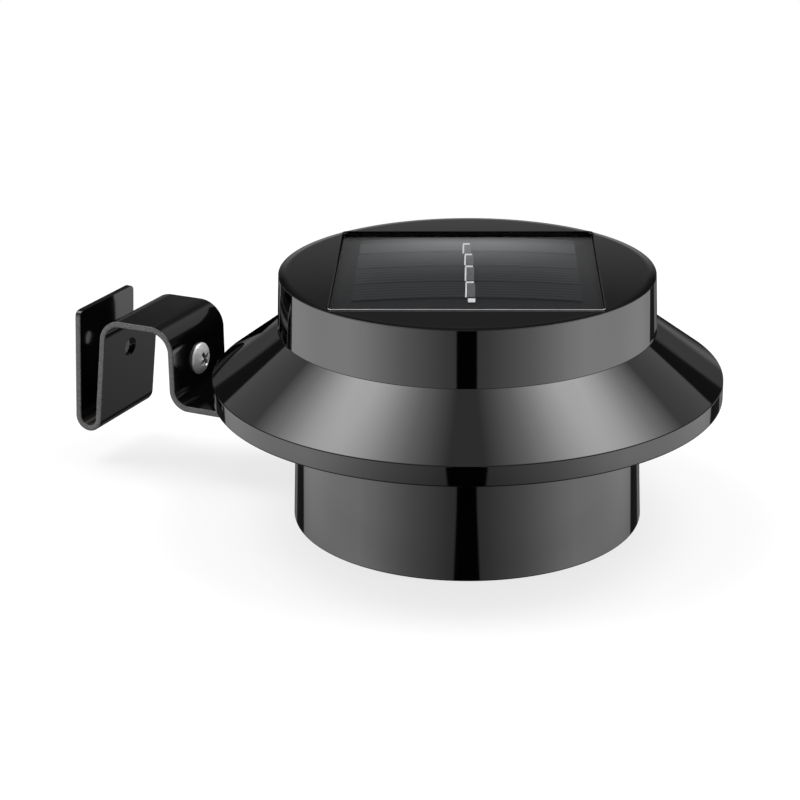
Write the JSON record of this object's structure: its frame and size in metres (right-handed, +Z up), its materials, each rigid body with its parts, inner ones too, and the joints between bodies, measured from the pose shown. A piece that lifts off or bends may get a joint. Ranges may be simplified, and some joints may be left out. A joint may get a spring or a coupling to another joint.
{
  "type": "solar fence light",
  "caption": "Round solar light with a shaded hood and a square panel in its cap, held by a bent steel clip bracket that hooks over a fence board or gutter edge.",
  "frame": {"origin": "On the lamp's axis, in the plane of the lower housing's bottom ring, which the lamp stands on.", "axes": "+Z is up along the lamp's axis. +Y is the way that the bracket leaves the back of the lamp. +X is to the side."},
  "size_m": [0.12, 0.1632, 0.0606],
  "materials": {
    "hood_plastic": "glossy black moulding",
    "carrier_board": "dark board under the cells",
    "solar_cell": "dark grey-blue silicon with fine fingers",
    "tinned_ribbon": "dull silver ribbon",
    "clear_window": "clear, slightly crowned cover",
    "red_lead": "red insulation",
    "black_lead": "black insulation",
    "seal_rubber": "dark flat seal",
    "housing_plastic": "glossy black moulding",
    "clear_lens": "clear lens with a faint frost",
    "reflector_silver": "bright metallised cups",
    "led_resin": "clear resin domes",
    "board_green": "green solder mask",
    "chip_black": "black moulded body, tinned legs",
    "copper_choke": "wound copper wire on a ferrite core",
    "capacitor_sleeve": "dark sleeve with an aluminium top",
    "switch_metal": "folded steel case",
    "switch_plastic": "black slider",
    "holder_plastic": "black open holder",
    "battery_sleeve": "plain green sleeve",
    "spring_steel": "plated wire",
    "contact_plate": "plated plates",
    "screw_zinc": "zinc plated",
    "bracket_paint": "glossy black coating over steel",
    "screw_bright": "bright domed head"
  },
  "bodies": {
    "lamp": {"upper_shell": "hood_plastic", "panel_carrier": "carrier_board", "solar_cells": "solar_cell", "cell_ribbons": "tinned_ribbon", "panel_window": "clear_window", "panel_lead_red": "red_lead", "panel_lead_black": "black_lead", "body_seal": "seal_rubber", "lower_housing": "housing_plastic", "lens": "clear_lens", "reflector": "reflector_silver", "leds": "led_resin", "circuit_board": "board_green", "driver_chip": "chip_black", "choke": "copper_choke", "capacitor": "capacitor_sleeve", "switch_body": "switch_metal", "battery_holder": "holder_plastic", "battery_cell": "battery_sleeve", "battery_spring": "spring_steel", "battery_contacts": "contact_plate", "housing_screws": "screw_zinc", "board_screws": "screw_zinc"},
    "switch_slider": {"switch_slider": "switch_plastic"},
    "bracket": {"bracket": "bracket_paint"},
    "clamp_screw": {"clamp_screw": "screw_bright"}
  },
  "joints": [
    {"name": "bracket_slide", "type": "slide", "parent": "lamp", "child": "bracket", "axis": [0, 1, 0], "range_m": [0, 0.012]},
    {"name": "clamp_screw_slide", "type": "slide", "parent": "bracket", "child": "clamp_screw", "axis": [0, -1, 0], "range_m": [0, 0.005]},
    {"name": "switch_slide", "type": "slide", "parent": "lamp", "child": "switch_slider", "axis": [0, 1, 0], "range_m": [0, 0.0025]}
  ]
}
